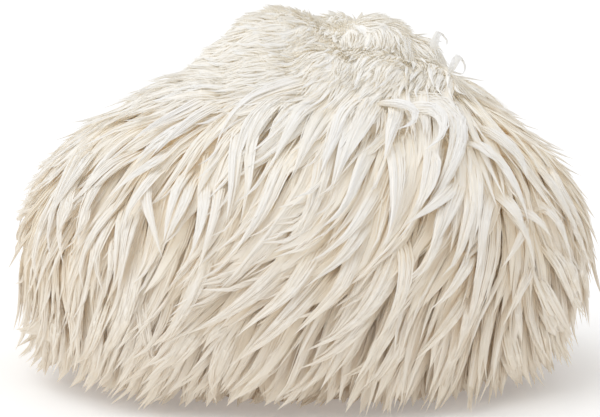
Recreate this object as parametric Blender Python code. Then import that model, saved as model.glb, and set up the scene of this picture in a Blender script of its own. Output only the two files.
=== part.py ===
"""Lion's mane mushroom: one fruiting body, a lobed fleshy dome covered in hanging spines.

The body is cut off flat where it grew on wood, and rests on that cut.
Metres, +Z up. The origin is the middle of the cut. -Y is the front, +X the right.
"""

import math
import random

import bmesh
import bpy
from mathutils import Vector

# Driving dimensions: the size over the spine tips.
WIDTH = 0.200
DEPTH = 0.168
HEIGHT = 0.128

# The flesh lies this far inside the spine tips.
SIDE_COVER = 0.0100
CROWN_COVER = 0.0110

FLESH_HALF_WIDTH = WIDTH / 2 - SIDE_COVER
FLESH_HALF_DEPTH = DEPTH / 2 - SIDE_COVER
FLESH_TOP = HEIGHT - CROWN_COVER
WIDEST_AT = 0.042  # height of the widest part
UNDERSIDE_DROP = 0.050  # from the widest part to where the underside would close, below the cut
CROWN_ROUNDNESS = 1.5  # 2 is an ellipse, and less is more pointed
CROWN_LEAN = 0.008  # the crown's middle lies this far to the right
LATHE_SIDES = 32
LATHE_RINGS = 20

# Broad mounds of the flesh: azimuth in degrees (0 right, -90 front, 180 left), height, spread, rise.
MOUNDS = (
    (-30, 0.080, 0.030, 0.0050),
    (-10, 0.056, 0.026, 0.0030),
    (-140, 0.078, 0.026, 0.0030),
    (175, 0.060, 0.026, 0.0030),
    (-95, 0.070, 0.022, 0.0020),
    (80, 0.080, 0.030, 0.0040),
    (130, 0.070, 0.024, 0.0030),
)

# Round lobes that the crown is made of: azimuth, height, radius, how far it stands proud.
LOBES = (
    (178, 0.1110, 0.0250, 0.0130),
    (-8, 0.1105, 0.0190, 0.0105),
    (80, 0.1060, 0.0210, 0.0080),
    (-124, 0.1045, 0.0170, 0.0050),
    (-88, 0.1070, 0.0150, 0.0045),
    (-50, 0.1060, 0.0150, 0.0050),
    (-22, 0.1010, 0.0140, 0.0050),
    (-143, 0.0975, 0.0140, 0.0045),
    (172, 0.0940, 0.0150, 0.0050),
    (8, 0.0940, 0.0140, 0.0050),
    (40, 0.1020, 0.0150, 0.0055),
    (125, 0.1000, 0.0160, 0.0050),
    (-48, 0.0820, 0.0150, 0.0045),
    (60, 0.0860, 0.0150, 0.0045),
)
LOBE_SIDES = 10
LOBE_RINGS = 6

# Rows of spine locks, top to bottom: height of the roots, how many, length, half thickness.
LOCK_ROWS = (
    (0.104, 6, 0.026, 0.0066),
    (0.091, 10, 0.035, 0.0080),
    (0.075, 13, 0.042, 0.0090),
    (0.058, 15, 0.046, 0.0092),
    (0.042, 16, 0.041, 0.0088),
    (0.026, 13, 0.027, 0.0080),
)
LOCK_STEPS = 5
LOCK_SIDES = 6
LOCK_PROUD = (-0.0030, 0.0040)  # how far a lock's middle line lies off the flesh, at root and tip
LOCK_SWELL = (0.30, 0.75)  # where root and tip lie on a half wave of thickness, fattest at 0.5
TAPER = 2.2  # how late a lock thins to its tip
TIP_SHARE = 0.05  # the tip's share of the half thickness
ROOT_DEPTH = 0.005  # how deep a lock's root is sunk in the flesh
START_DROOP = 0.80  # how far a lock points down where it leaves the flesh
GRAVITY = 0.75  # how fast a lock turns downwards at each step
FLOOR_GAP = 0.0010  # the lowest spine tips stop this far above the cut
WELD = 0.00001

# How much the locks vary.
SEED = 7
PLACE_SPREAD = 0.12  # of the distance between two roots
ROOT_HEIGHT_SPREAD = 0.004
LENGTH_SHARES = (0.90, 1.12)
LEAN_SHARES = (0.6, 1.3)
THICKNESS_SHARES = (0.9, 1.1)

# How the locks lean round the dome: azimuth, lean, with plus to the left at the front.
LEANS = (
    (-180, 0.30),
    (-120, 0.52),
    (-85, 0.48),
    (-50, 0.16),
    (-15, -0.20),
    (40, 0.15),
    (90, 0.32),
    (140, 0.12),
    (180, 0.30),
)

FLESH_COLOUR = (0.86, 0.80, 0.68, 1.0)
FLESH_ROUGHNESS = 0.75


def empty_the_scene():
    for obj in list(bpy.data.objects):
        bpy.data.objects.remove(obj, do_unlink=True)


def collection(name):
    made = bpy.data.collections.new(name)
    bpy.context.scene.collection.children.link(made)
    return made


def flesh_material():
    material = bpy.data.materials.new("lions_mane_flesh")
    material.use_nodes = True
    shader = material.node_tree.nodes["Principled BSDF"]
    shader.inputs["Base Color"].default_value = FLESH_COLOUR
    shader.inputs["Roughness"].default_value = FLESH_ROUGHNESS
    shader.inputs["Metallic"].default_value = 0.0
    return material


def outline(slope):
    """Share of the half width, and height, at a slope from -90 under the body to 90 at its top."""
    run = math.cos(math.radians(slope))
    rise = math.sin(math.radians(slope))
    power = 2 / CROWN_ROUNDNESS
    if rise >= 0:
        return run**power, WIDEST_AT + (FLESH_TOP - WIDEST_AT) * rise**power
    return run, WIDEST_AT + UNDERSIDE_DROP * rise


def slope_at(height):
    """The slope at which the outline passes a height above the widest part, or below it."""
    if height < WIDEST_AT:
        return math.degrees(math.asin((height - WIDEST_AT) / UNDERSIDE_DROP))
    share = (height - WIDEST_AT) / (FLESH_TOP - WIDEST_AT)
    return math.degrees(math.asin(min(1.0, share ** (CROWN_ROUNDNESS / 2))))


def plain_point(azimuth, slope):
    """A point of the flesh without its mounds."""
    share, height = outline(slope)
    lean = CROWN_LEAN * max(0.0, height - WIDEST_AT) / (FLESH_TOP - WIDEST_AT)
    turn = math.radians(azimuth)
    across = FLESH_HALF_WIDTH * share * math.cos(turn)
    along = FLESH_HALF_DEPTH * share * math.sin(turn)
    return Vector((across + lean, along, height))


def outward(azimuth, slope):
    """The way out of the plain flesh at a point, of length 1."""
    turn = math.radians(azimuth)
    tilt = math.radians(slope)
    across = math.cos(turn) * math.cos(tilt) / FLESH_HALF_WIDTH
    along = math.sin(turn) * math.cos(tilt) / FLESH_HALF_DEPTH
    return Vector((across, along, math.sin(tilt) / (FLESH_TOP - WIDEST_AT))).normalized()


MOUND_TOPS = [(plain_point(turn, slope_at(height)), spread, rise) for turn, height, spread, rise in MOUNDS]


def mound_rise(place):
    """How far the mounds lift the flesh at a place."""
    return sum(rise * math.exp(-((place - top).length / spread) ** 2) for top, spread, rise in MOUND_TOPS)


def flesh_point(azimuth, slope, lift=0.0):
    place = plain_point(azimuth, slope)
    return place + outward(azimuth, slope) * (mound_rise(place) + lift)


def flesh():
    """The lobed dome: a sphere shaped to the outline, with mounds, cut off flat at the base."""
    bpy.ops.mesh.primitive_uv_sphere_add(segments=LATHE_SIDES, ring_count=LATHE_RINGS, radius=1)
    body = bpy.context.object
    body.name = "fruiting_body"
    shape = bmesh.new()
    shape.from_mesh(body.data)
    for corner in shape.verts:
        azimuth = math.degrees(math.atan2(corner.co.y, corner.co.x))
        slope = math.degrees(math.asin(max(-1.0, min(1.0, corner.co.z))))
        corner.co = flesh_point(azimuth, slope)
    everything = shape.verts[:] + shape.edges[:] + shape.faces[:]
    cut = bmesh.ops.bisect_plane(
        shape, geom=everything, plane_co=(0, 0, 0), plane_no=(0, 0, -1), clear_outer=True
    )
    rim = [piece for piece in cut["geom_cut"] if isinstance(piece, bmesh.types.BMEdge)]
    bmesh.ops.edgeloop_fill(shape, edges=rim)
    bmesh.ops.recalc_face_normals(shape, faces=shape.faces[:])
    shape.to_mesh(body.data)
    shape.free()
    return body


def leftwards(place):
    """The level way round the dome, which is to the left at the front."""
    return Vector((place.y / FLESH_HALF_DEPTH, -place.x / FLESH_HALF_WIDTH, 0)).normalized()


def lean_at(place):
    """How far the locks at a place lean round the dome."""
    azimuth = math.degrees(math.atan2(place.y, place.x))
    for (start, lean), (end, next_lean) in zip(LEANS, LEANS[1:]):
        if azimuth <= end:
            return lean + (next_lean - lean) * (azimuth - start) / (end - start)
    return LEANS[-1][1]


def clear_of_flesh(place, proud):
    """A place moved out, where it needs to be, to lie proud of the flesh beside it."""
    azimuth = math.degrees(math.atan2(place.y / FLESH_HALF_DEPTH, place.x / FLESH_HALF_WIDTH))
    slope = slope_at(min(max(place.z, 0.0), FLESH_TOP - 0.001))
    out = outward(azimuth, slope)
    lift = (flesh_point(azimuth, slope, proud) - place).dot(out)
    return place + out * max(0.0, lift)


def thickness_share(along):
    """A lock is fattest above its middle, and tapers to its tip."""
    root, tip = LOCK_SWELL
    swell = math.sin(math.pi * (root + (tip - root) * along))
    return swell * (1 - (1 - TIP_SHARE) * along**TAPER)


def lock_path(azimuth, slope, length, half_thickness, lean_share):
    """A lock's middle line, from its root in the flesh, over the flesh and down."""
    place = flesh_point(azimuth, slope, -ROOT_DEPTH)
    path = [place]
    way = (outward(azimuth, slope) + Vector((0, 0, -START_DROOP))).normalized()
    step = (length + ROOT_DEPTH) / LOCK_STEPS
    near, far = LOCK_PROUD
    for i in range(LOCK_STEPS):
        share = (i + 1) / LOCK_STEPS
        lean = leftwards(place) * lean_at(place) * lean_share
        way = (way + Vector((0, 0, -GRAVITY)) + lean).normalized()
        place = place + way * step
        if place.z > WIDEST_AT:
            place = clear_of_flesh(place, near + (far - near) * share)
        place.z = max(place.z, FLOOR_GAP + half_thickness * thickness_share(share))
        path.append(place)
    return path


def lock(name, path, half_thickness):
    """A tapered horn along a path, as a closed mesh."""
    curve = bpy.data.curves.new(name, "CURVE")
    curve.dimensions = "3D"
    curve.bevel_depth = 1.0
    curve.bevel_resolution = LOCK_SIDES // 2 - 2
    curve.use_fill_caps = True
    spline = curve.splines.new("POLY")
    spline.points.add(len(path) - 1)
    for i, (point, place) in enumerate(zip(spline.points, path)):
        point.co = (*place, 1)
        point.radius = half_thickness * thickness_share(i / (len(path) - 1))
    tube = bpy.data.objects.new(name, curve)
    bpy.context.scene.collection.objects.link(tube)
    bpy.context.view_layer.update()
    graph = bpy.context.evaluated_depsgraph_get()
    mesh = bpy.data.meshes.new_from_object(tube.evaluated_get(graph))
    bpy.data.objects.remove(tube)
    shape = bmesh.new()
    shape.from_mesh(mesh)
    bmesh.ops.remove_doubles(shape, verts=shape.verts[:], dist=WELD)
    shape.to_mesh(mesh)
    shape.free()
    return bpy.data.objects.new(name, mesh)


def locks():
    """Every lock of spines, row by row, each row offset from the one above."""
    draw = random.Random(SEED)
    made = []
    for row, (height, count, length, half_thickness) in enumerate(LOCK_ROWS):
        for i in range(count):
            turn = (i + row % 2 / 2 + draw.uniform(-PLACE_SPREAD, PLACE_SPREAD)) / count
            slope = slope_at(height + draw.uniform(-ROOT_HEIGHT_SPREAD, ROOT_HEIGHT_SPREAD))
            reach = length * draw.uniform(*LENGTH_SHARES)
            thick = half_thickness * draw.uniform(*THICKNESS_SHARES)
            path = lock_path(360 * turn - 90, slope, reach, thick, draw.uniform(*LEAN_SHARES))
            made.append(lock(f"lock_{row}_{i}", path, thick))
    return made


def lobes():
    """The round lobes of the crown."""
    made = []
    for azimuth, height, radius, proud in LOBES:
        centre = flesh_point(azimuth, slope_at(height), proud - radius)
        bpy.ops.mesh.primitive_uv_sphere_add(
            segments=LOBE_SIDES, ring_count=LOBE_RINGS, radius=radius, location=centre
        )
        made.append(bpy.context.object)
    return made


def triangulate(obj):
    """Flat faces only, so that the Boolean splits them cleanly."""
    shape = bmesh.new()
    shape.from_mesh(obj.data)
    bmesh.ops.triangulate(shape, faces=shape.faces[:])
    shape.to_mesh(obj.data)
    shape.free()


def move_to(obj, home):
    for old in list(obj.users_collection):
        old.objects.unlink(obj)
    home.objects.link(obj)


def main():
    empty_the_scene()
    parts = collection("lions_mane_mushroom")
    helpers = collection("lobe_and_lock_shapes")
    body = flesh()
    triangulate(body)
    move_to(body, parts)
    body.data.materials.append(flesh_material())
    for shape in lobes() + locks():
        triangulate(shape)
        move_to(shape, helpers)
        shape.hide_render = True
        shape.display_type = "WIRE"
    fuse = body.modifiers.new("fuse_lobes_and_locks", "BOOLEAN")
    fuse.operation = "UNION"
    fuse.operand_type = "COLLECTION"
    fuse.collection = helpers


main()
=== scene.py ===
"""The looks of a lion's mane mushroom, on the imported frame.

The flesh is one lobed dome with a cut base. Its spines grow from it in locks: each lock is
fine fibres over a core that fills it, and locks lean together into tufts, as wet fur does.
Metres, +Z up, -Y the front, +X the right, and the origin in the middle of the cut.
"""

import math

import bpy
import numpy as np
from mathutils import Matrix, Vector
from mathutils.kdtree import KDTree


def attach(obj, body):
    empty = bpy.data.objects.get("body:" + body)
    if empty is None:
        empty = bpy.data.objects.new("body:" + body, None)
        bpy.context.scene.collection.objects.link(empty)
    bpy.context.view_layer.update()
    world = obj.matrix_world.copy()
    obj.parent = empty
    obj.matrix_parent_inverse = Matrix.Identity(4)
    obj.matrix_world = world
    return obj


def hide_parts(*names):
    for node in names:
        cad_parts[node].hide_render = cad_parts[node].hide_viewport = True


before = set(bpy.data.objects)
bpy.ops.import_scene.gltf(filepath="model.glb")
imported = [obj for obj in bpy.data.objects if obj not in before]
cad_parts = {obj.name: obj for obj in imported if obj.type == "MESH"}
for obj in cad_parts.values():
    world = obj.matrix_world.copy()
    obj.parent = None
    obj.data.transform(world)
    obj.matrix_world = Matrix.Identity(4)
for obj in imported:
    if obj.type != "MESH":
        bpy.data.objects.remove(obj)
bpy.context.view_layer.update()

# Every random draw starts from the seed and a number of its own, here or with its coat.
SEED = 11
SWIRL_SALT, FINE_SWIRL_SALT = 1, 2
TUFT_SALT, TUFT_ROOT_SALT = 4, 7
COAT_SALT, FRONT_SALT, CROWN_SALT, CROWN_TUFT_SALT = 5, 6, 8, 9

# The flesh, on the same dome as the frame's solid.
HALF_WIDTH = 0.090
HALF_DEPTH = 0.074
TOP = 0.117
WIDEST_AT = 0.042
UNDERSIDE_DROP = 0.050
CROWN_ROUNDNESS = 1.5
CROWN_LEAN = 0.008
MIDDLE = np.array((0.0, 0.0, WIDEST_AT))

# Broad mounds: azimuth (0 right, -90 front, 180 left), height, spread, rise.
MOUNDS = (
    (-30, 0.080, 0.030, 0.0050),
    (-10, 0.056, 0.026, 0.0030),
    (-140, 0.078, 0.026, 0.0030),
    (175, 0.060, 0.026, 0.0030),
    (-95, 0.070, 0.022, 0.0020),
    (80, 0.080, 0.030, 0.0040),
    (130, 0.070, 0.024, 0.0030),
    (185, 0.074, 0.018, 0.0040),
    (2, 0.088, 0.028, -0.0020),
    (0, 0.030, 0.030, -0.0030),
    (180, 0.034, 0.030, -0.0030),
)

# Round lobes of the crown: azimuth, height, radius, how far it stands proud.
LOBES = (
    (178, 0.1125, 0.0200, 0.0095),
    (-8, 0.1115, 0.0150, 0.0085),
    (-3, 0.1055, 0.0070, 0.0078),
    (80, 0.1060, 0.0190, 0.0060),
    (-124, 0.1045, 0.0170, 0.0050),
    (-88, 0.1070, 0.0150, 0.0045),
    (-50, 0.1060, 0.0150, 0.0050),
    (-22, 0.1010, 0.0140, 0.0050),
    (-143, 0.0975, 0.0140, 0.0045),
    (172, 0.0940, 0.0150, 0.0015),
    (8, 0.0940, 0.0140, 0.0020),
    (40, 0.1020, 0.0150, 0.0055),
    (125, 0.1000, 0.0160, 0.0050),
    (-48, 0.0820, 0.0150, 0.0045),
    (60, 0.0860, 0.0150, 0.0045),
    (-38, 0.0930, 0.0130, 0.0045),
    (-160, 0.0940, 0.0130, 0.0040),
    (165, 0.1060, 0.0150, 0.0050),
    (-100, 0.0945, 0.0120, 0.0035),
    (-72, 0.0930, 0.0120, 0.0035),
    (100, 0.0880, 0.0150, 0.0045),
    (145, 0.0860, 0.0140, 0.0040),
    (75, 0.1125, 0.0100, 0.0060),
)
CREASE = 0.002  # how softly lobes meet
CREASE_REACH = 0.004  # how far round a place its crease is felt for
CREASE_FULL = 0.3  # the share of that reach that counts as a whole crease's depth

# The flesh's mesh, the soft bumps of its skin, and how its surface is found along a ray.
FLESH_SEGMENTS = 128
FLESH_RINGS = 80
FLESH_BUMP = 0.0007
BUMP_FINENESS = 2.2
SEARCH_ROUNDS = 40
SEARCH_STEP = 0.8

# How spines lean round the dome: azimuth, lean, with plus to the left at the front.
LEANS = (
    (-180, 0.30),
    (-120, 0.52),
    (-85, 0.48),
    (-50, 0.16),
    (-15, -0.20),
    (40, 0.15),
    (90, 0.32),
    (140, 0.12),
    (180, 0.30),
)

CURL = 2.2  # how much more the tips lean than the rest
LEAN_SHARES = (0.55, 1.35)
CURL_SPREAD = 0.30
START_OUT = (0.35, 0.9)  # how steeply locks leave the flesh

# What a lock is like by the height of its root: height, length, half width, depth of the coat.
LOCK_KINDS = (
    (0.000, 0.024, 0.0022, 0.0070),
    (0.028, 0.041, 0.0026, 0.0090),
    (0.050, 0.047, 0.0029, 0.0100),
    (0.074, 0.054, 0.0029, 0.0100),
    (0.090, 0.050, 0.0026, 0.0090),
    (0.100, 0.038, 0.0020, 0.0065),
    (0.108, 0.013, 0.0012, 0.0040),
    (0.130, 0.010, 0.0010, 0.0035),
)
LOWEST_ROOT = 0.008
CROWN_FROM = 0.103  # roots above this height belong to the crown

# The tufts that locks lean to: like a coat's locks, but only their middle lines.
TUFTS = {
    "spacing": 0.0095, "lean": (0.6, 1.3), "curl": 0.4, "start_out": 0.6, "lift": (0, 0.8),
    "proud": 0.8, "fringe": 1.0, "salt": TUFT_ROOT_SALT,
}

# How high above the floor the fringe ends, by azimuth.
FRINGE_ENDS = (
    (-180, 0.0060),
    (-166, 0.0040),
    (-152, 0.0095),
    (-138, 0.0040),
    (-120, 0.0020),
    (-106, 0.0095),
    (-74, 0.0105),
    (-62, 0.0015),
    (-34, 0.0015),
    (-26, 0.0050),
    (-13, 0.0060),
    (-5, 0.0170),
    (12, 0.0160),
    (40, 0.0030),
    (165, 0.0030),
    (180, 0.0060),
)
FRINGE_SHARE = 0.45  # roots low down may reach lower than that, to this share of their own height
SIDES = ("right_spines", "back_spines", "left_spines", "front_spines")

# The layers of locks. Spacing is between roots; length and width are shares of a lock's usual ones.
# Proud is how much of the coat's depth the tips stand off the flesh by, and lift how far they turn
# out there. Pull is how far locks lean to their tuft, and fringe the share that they keep of the
# fringe's height above the floor. A lock is fine fibres, spread at its root and drawn together at
# its tip, over a core: the core's sides and rings, then how many fibres and their rings.
# Salt is the number of the random draw that places its roots.
UNDERCOAT = {
    "spacing": 0.0068, "length": (0.55, 0.95), "width": (1.10, 1.50), "flatness": (0.30, 0.45),
    "proud": (0.58, 0.85), "pull": (0.2, 0.5), "core": (5, 5), "fibres": (6, 5), "lift": (-0.3, 0.5),
    "fringe": 0.25, "salt": 20,
}
MIDCOAT = {
    "spacing": 0.0057, "length": (0.70, 1.20), "width": (0.42, 0.85), "flatness": (0.45, 0.70),
    "proud": (0.68, 0.96), "pull": (0.45, 0.9), "core": (5, 6), "fibres": (8, 6), "lift": (-0.3, 0.9),
    "fringe": 1.0, "salt": 21,
}
TOPCOAT = {
    "spacing": 0.0100, "length": (0.90, 1.35), "width": (0.50, 0.90), "flatness": (0.50, 0.75),
    "proud": (0.86, 1.04), "pull": (0.2, 0.6), "core": (6, 7), "fibres": (10, 7), "lift": (-0.3, 0.9),
    "fringe": 1.0, "salt": 22,
}
WISPS = {
    "spacing": 0.0066, "length": (0.35, 0.70), "width": (0.25, 0.45), "flatness": (0.7, 0.9),
    "proud": (0.90, 1.08), "pull": (0.0, 0.3), "core": (4, 5), "fibres": (3, 5), "lift": (0.3, 2.2),
    "fringe": 1.0, "salt": 23,
}
CROWN_TUFTS = {
    "spacing": 0.0030, "length": (0.40, 1.00), "width": (0.35, 0.70), "flatness": (0.6, 0.9),
    "proud": (0.50, 1.00), "pull": (0.0, 0.3), "core": (4, 4), "fibres": (4, 4), "lift": (-0.3, 0.9),
    "fringe": 1.0, "salt": 31,
}
MATTED = (-0.030, 0.020)  # from left to right, where the crown's tufts grow dense
FEWEST_TUFTS = 0.35  # the share of them that grow at the left

# The crown's fur, and the soft peaks that it is drawn together in, in the same terms.
CROWN_FUR = {
    "spacing": 0.00085, "length": (0.7, 1.2), "proud": (0.15, 0.40), "curl": 0.3,
    "start_out": (0.3, 0.9), "lift": (-0.3, 0.4), "salt": 30,
}
CROWN_PEAKS = {
    "spacing": 0.0065, "length": (0.9, 1.4), "proud": (0.4, 0.85), "curl": 0.4,
    "start_out": (0.5, 1.0), "lift": (0.2, 1.4), "salt": 32,
}
CROWN_LENGTHS = ((0.094, 0.022), (0.102, 0.016), (0.108, 0.0085), (0.130, 0.0070))  # by height
CROWN_FADE = 0.006  # how far the crown's fur reaches down among the locks
PEAK_PULL = (0.2, 0.7)  # how far the fur leans to its peak

# How the picture's locks are parted into strands.
STRANDS = {"core": (6, 7), "fibres": (10, 7)}
STRAND_WIDTH = 5.2  # in the picture's pixels
STRAND_OVERLAP = 1.6  # how much wider a strand is than its share of its lock
STRAND_STOPS = (0.84, 1.0)  # how far along their lock all strands but one end
STRAND_SPREAD = 1.15  # about where the outer strands start, as a share of the half width
STRAND_PLACE = (0.2, 0.8)  # of a strand's share of its lock's width, where its middle may be
STRAND_ARCH = 0.6  # how much deeper the outer strands lie
STRAND_DEPTH = (-0.2, 0.3)  # and how much deeper each lies by itself
STRANDS_SINK = (0.1, 0.5)  # the shares of a lock over which its strands come to lie that deep
STRANDS_MEET = (0.35, 1)  # and over which they draw together

# The locks that the picture shows best: width, then the route from root to tip, in its pixels.
FRONT_LOCKS = (
    (10, (205, 98), (180, 112), (155, 124), (130, 142)),
    (10, (212, 106), (190, 120), (168, 138), (150, 158)),
    (10, (196, 120), (172, 132), (150, 146), (132, 166)),
    (9, (147, 126), (119, 146), (98, 168), (78, 202), (56, 233)),
    (12, (104, 129), (70, 168), (52, 206), (45, 238), (48, 262)),
    (12, (98, 150), (72, 185), (59, 215), (58, 245), (62, 266)),
    (12, (114, 165), (90, 195), (79, 225), (78, 250)),
    (10, (84, 160), (56, 196), (38, 232), (32, 262), (36, 284)),
    (8, (133, 188), (109, 213), (87, 244), (79, 272), (84, 295)),
    (8, (121, 202), (107, 230), (95, 258), (105, 300)),
    (9, (126, 206), (119, 241), (114, 291)),
    (9, (144, 195), (130, 230), (121, 272), (116, 300)),
    (9, (187, 174), (168, 216), (163, 244)),
    (10, (483, 129), (508, 142), (522, 157), (529, 177)),
    (10, (528, 162), (553, 188), (572, 222), (582, 250)),
    (11, (480, 142), (506, 170), (522, 200), (530, 226)),
    (11, (463, 175), (453, 205), (438, 239), (424, 262)),
    (10, (471, 181), (471, 207), (464, 239), (452, 268)),
    (10, (492, 193), (484, 215), (482, 250), (474, 285)),
    (10, (497, 193), (515, 213), (530, 240), (536, 270)),
    (10, (525, 213), (542, 206), (556, 218), (568, 245), (574, 272)),
    (9, (425, 147), (436, 162), (432, 188), (420, 210)),
    (19, (404, 100), (432, 97), (455, 112), (460, 140), (449, 172), (428, 206), (405, 224)),
    (11, (408, 108), (430, 106), (445, 120), (440, 138), (424, 150)),
    (10, (384, 103), (402, 103), (415, 110), (414, 121), (396, 129)),
    (14, (300, 92), (272, 100), (252, 118), (240, 145), (232, 180)),
    (12, (290, 95), (265, 112), (250, 140), (246, 170)),
    (12, (318, 98), (298, 112), (285, 135), (270, 165)),
    (14, (330, 104), (318, 120), (305, 145), (290, 180)),
    (12, (352, 104), (340, 118), (332, 140), (318, 165)),
    (10, (310, 78), (275, 88), (250, 98), (228, 120), (215, 150)),
    (12, (372, 112), (362, 130), (350, 150), (340, 172)),
    (12, (395, 112), (390, 135), (384, 160)),
    (12, (345, 112), (331, 138), (320, 180), (308, 218), (285, 247), (254, 257)),
    (11, (372, 140), (357, 175), (345, 205), (332, 220), (319, 229)),
    (10, (382, 178), (366, 210), (348, 235), (328, 252), (307, 264)),
    (9, (372, 208), (358, 236), (342, 258), (324, 272), (303, 288)),
    (12, (296, 140), (280, 170), (266, 203), (247, 236), (223, 263)),
    (20, (325, 125), (300, 190), (273, 230), (238, 272), (187, 323)),
    (14, (305, 222), (285, 262), (255, 292), (215, 320), (174, 339)),
    (12, (324, 232), (306, 266), (284, 296), (260, 316), (236, 336)),
    (13, (338, 258), (314, 290), (288, 318), (262, 342), (226, 368)),
    (12, (364, 225), (353, 262), (340, 290), (318, 312), (291, 337)),
    (20, (402, 222), (393, 262), (376, 298), (350, 328), (304, 352)),
    (15, (378, 290), (360, 325), (330, 354), (292, 371)),
    (13, (398, 230), (406, 262), (401, 296), (387, 325), (371, 348)),
    (13, (402, 288), (392, 325), (378, 352), (367, 386)),
    (8, (440, 222), (435, 250), (425, 270), (411, 283)),
    (9, (468, 205), (464, 238), (456, 260), (441, 278)),
    (10, (474, 245), (462, 276), (447, 297), (430, 312)),
    (12, (474, 282), (458, 312), (438, 338), (413, 362)),
    (13, (472, 295), (466, 325), (455, 360)),
    (13, (466, 322), (452, 355), (438, 385), (421, 413)),
    (10, (404, 362), (402, 388), (405, 407)),
    (13, (412, 320), (398, 352), (380, 378), (358, 396)),
    (8, (388, 340), (366, 366), (340, 379)),
    (12, (238, 318), (222, 347), (213, 375), (217, 406)),
    (9, (228, 322), (213, 335), (201, 352)),
    (10, (212, 318), (192, 345), (170, 368), (150, 380)),
    (14, (216, 228), (200, 275), (183, 312), (165, 337), (152, 354)),
    (10, (141, 280), (142, 316), (149, 352), (158, 386)),
    (15, (150, 222), (138, 262), (127, 310), (110, 345), (84, 370)),
    (12, (112, 290), (100, 325), (90, 350), (72, 365)),
    (11, (60, 300), (56, 325), (53, 350), (57, 366)),
    (13, (58, 320), (50, 345), (43, 378)),
    (12, (56, 312), (36, 330), (14, 331)),
    (12, (55, 316), (35, 338), (16, 350)),
    (11, (54, 320), (38, 345), (28, 357)),
    (10, (100, 235), (92, 262), (84, 294)),
    (9, (118, 235), (110, 270), (105, 299)),
    (9, (130, 235), (120, 270), (111, 293)),
    (10, (92, 210), (82, 226), (70, 242)),
    (12, (78, 196), (66, 215), (56, 236)),
    (14, (140, 150), (110, 165), (85, 190), (62, 212)),
    (9, (172, 150), (148, 166), (126, 180), (108, 198)),
    (12, (100, 150), (80, 170), (62, 192), (48, 218)),
    (12, (165, 165), (145, 185), (130, 205), (120, 232)),
    (11, (150, 178), (148, 205), (155, 235), (163, 260)),
    (11, (192, 180), (182, 205), (170, 230), (161, 250)),
    (11, (205, 178), (203, 210), (195, 240), (186, 262)),
    (11, (222, 172), (216, 210), (205, 245), (196, 275)),
    (11, (245, 120), (236, 150), (232, 190), (226, 225)),
    (12, (262, 110), (252, 145), (248, 190), (240, 225)),
    (12, (345, 112), (328, 150), (318, 178)),
    (11, (355, 115), (342, 155), (330, 195)),
    (10, (455, 185), (444, 198), (428, 210), (404, 225)),
    (11, (434, 140), (430, 170), (422, 200), (408, 222)),
    (11, (392, 140), (397, 180), (394, 215), (386, 245)),
    (10, (447, 200), (438, 232), (427, 262)),
    (12, (470, 150), (478, 190), (476, 230), (466, 268)),
    (13, (490, 205), (486, 260), (474, 315), (456, 358)),
    (9, (522, 222), (515, 250), (501, 270)),
    (11, (528, 262), (520, 295), (503, 329)),
    (9, (516, 290), (518, 318), (522, 343)),
    (12, (503, 318), (511, 350), (524, 374)),
    (13, (532, 232), (556, 258), (572, 290), (578, 322)),
    (14, (530, 262), (545, 290), (562, 320), (577, 343)),
    (13, (533, 290), (548, 320), (566, 338), (575, 351)),
    (13, (530, 300), (540, 335), (550, 376)),
    (13, (524, 320), (532, 355), (537, 387)),
    (13, (498, 335), (509, 362), (524, 388)),
    (12, (476, 340), (472, 375), (472, 415)),
    (12, (500, 340), (495, 375), (490, 406)),
    (12, (462, 345), (450, 375), (440, 410)),
    (13, (545, 320), (552, 348), (559, 372)),
    (12, (556, 235), (572, 268), (584, 304)),
    (12, (572, 240), (584, 270), (592, 300)),
    (12, (560, 205), (578, 235), (593, 270)),
    (12, (540, 160), (560, 190), (580, 222), (590, 250)),
    (5, (434, 46), (437, 36), (442, 33), (447, 38), (447, 46)),
    (5, (452, 68), (456, 60), (463, 59), (466, 66), (463, 74)),
    (10, (474, 146), (492, 154), (508, 170)),
    (12, (484, 130), (505, 140), (522, 158), (530, 180)),
    (12, (500, 195), (520, 215), (528, 240)),
    (11, (520, 212), (540, 222), (552, 238)),
)

# How the short spines between those lie, in the same way but with no lock of their own.
COMBING = (
    ((48, 250), (54, 280), (68, 308), (86, 332)),
    ((66, 262), (76, 290), (90, 312), (104, 336)),
    ((88, 275), (100, 300), (114, 322), (124, 342)),
    ((325, 20), (295, 22), (262, 28), (238, 36)),
    ((322, 40), (290, 50), (255, 60), (225, 70)),
    ((250, 40), (225, 48), (205, 60), (190, 66)),
    ((240, 74), (222, 72), (208, 66)),
    ((235, 88), (215, 82), (198, 78)),
    ((190, 70), (172, 78), (155, 84)),
    ((300, 84), (268, 95), (242, 118), (228, 150)),
    ((235, 90), (215, 105), (195, 112), (175, 112)),
    ((150, 88), (130, 100), (112, 112)),
    ((120, 95), (100, 108), (85, 115)),
    ((170, 105), (140, 115), (115, 118)),
    ((110, 130), (85, 150), (65, 165)),
    ((80, 160), (55, 175), (35, 190)),
    ((60, 190), (40, 205), (22, 215)),
    ((385, 50), (365, 70), (345, 88)),
    ((330, 60), (333, 75), (336, 92)),
    ((405, 62), (388, 76), (365, 86)),
    ((380, 15), (396, 12), (411, 22)),
    ((405, 25), (418, 32), (428, 45)),
    ((440, 50), (452, 60), (465, 75)),
    ((470, 75), (478, 90), (488, 105)),
    ((480, 100), (500, 108), (520, 115)),
    ((500, 125), (525, 130), (545, 145)),
    ((540, 135), (560, 160), (580, 190)),
    ((420, 55), (421, 75), (408, 93), (386, 101)),
    ((464, 62), (458, 72), (447, 84), (438, 93)),
)
PICTURE = (600, 417)  # the picture's size, in its pixels
ROOT_RUN = 18  # how far a lock's root is hidden above where it is first seen, in pixels
COMB_REACH = 0.010  # how far from a combed line spines follow it
PLAIN_COMBING = 0.12  # how much the plain way down counts for beside them

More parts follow.
